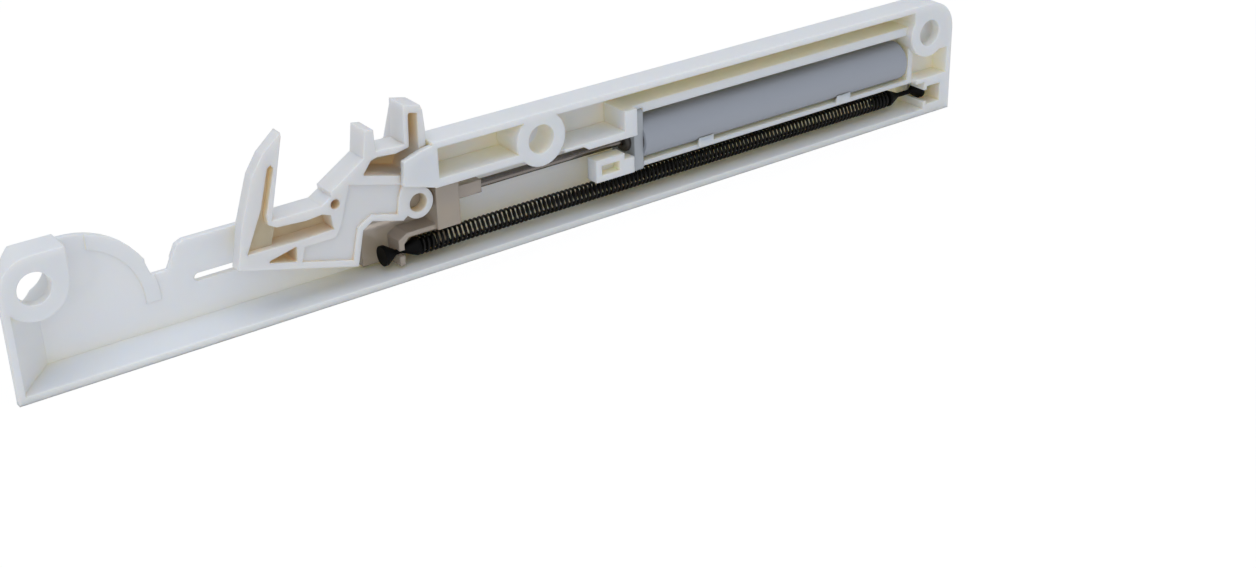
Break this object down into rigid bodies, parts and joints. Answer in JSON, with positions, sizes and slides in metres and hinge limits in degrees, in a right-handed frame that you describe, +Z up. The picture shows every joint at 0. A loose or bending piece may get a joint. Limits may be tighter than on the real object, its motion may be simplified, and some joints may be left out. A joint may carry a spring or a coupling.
{
  "type": "soft close damper",
  "caption": "Slim moulded soft close damper for a sliding door, with a tilting catch on a spring-loaded slider and a small cylinder damper in an open tray.",
  "frame": {"origin": "centre of the long bottom edge's face, at its height", "axes": "+X along the unit from the latch end to the damper end, +Y from the open side to the closed side, +Z up from the long bottom edge"},
  "size_m": [0.25, 0.012, 0.0404],
  "materials": {
    "white_housing": "satin moulded",
    "white_catch": "satin moulded",
    "smoke_clear": "clear, smoke tint",
    "black_spring_steel": "oiled black",
    "black_plastic": "satin moulded",
    "grey_plastic": "satin moulded",
    "light_grey_plastic": "satin moulded",
    "dark_plastic": "satin moulded",
    "polished_steel": "ground",
    "black_rubber": "matt",
    "grey_foam": "matt"
  },
  "bodies": {
    "housing": {"housing": "white_housing", "damper_cylinder": "grey_plastic", "cylinder_cap": "light_grey_plastic", "rod_guide": "dark_plastic", "guide_o_ring": "black_rubber", "rod_seal": "black_rubber", "compensator_foam": "grey_foam", "spring_stud_housing": "black_plastic", "spring": "black_spring_steel"},
    "slider": {"slider": "smoke_clear", "spring_stud_slider": "black_plastic", "piston_rod": "polished_steel", "rod_end": "dark_plastic", "piston": "dark_plastic", "piston_ring": "black_plastic", "valve_disc": "black_plastic", "piston_clip": "polished_steel"},
    "catch": {"catch": "white_catch"}
  },
  "joints": [
    {"name": "slide", "type": "slide", "parent": "housing", "child": "slider", "axis": [-1, 0, 0], "range_m": [0, 0.033], "stiffness_N_per_m": 150, "springref_m": -0.05},
    {"name": "tilt", "type": "hinge", "parent": "slider", "child": "catch", "pos_m": [-0.0342, -0.0012, 0.0166], "axis": [0, -1, 0], "range_deg": [0, 15]}
  ]
}
